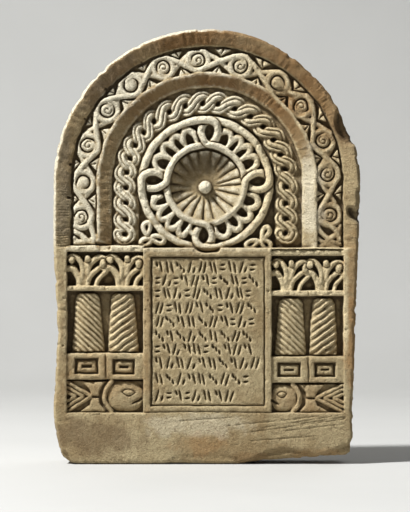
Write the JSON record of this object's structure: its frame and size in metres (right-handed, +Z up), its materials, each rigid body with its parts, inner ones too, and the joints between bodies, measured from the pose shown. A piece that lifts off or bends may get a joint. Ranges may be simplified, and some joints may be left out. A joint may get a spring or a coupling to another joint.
{
  "type": "carved stone stele",
  "caption": "An upright stone slab with a round top, its face carved in relief with a stepped arch, a knotted wreath and an inscribed panel between columns; it stands on its own underside",
  "frame": {"origin": "middle of the bounding box at the level of the underside", "axes": "+Z up along the slab, -Y out of the carved face, X across the slab"},
  "size_m": [0.5665, 0.1, 0.803],
  "materials": {
    "limestone": "rough carved limestone, unpolished"
  },
  "bodies": {
    "root": {"stele": "limestone"}
  },
  "joints": []
}
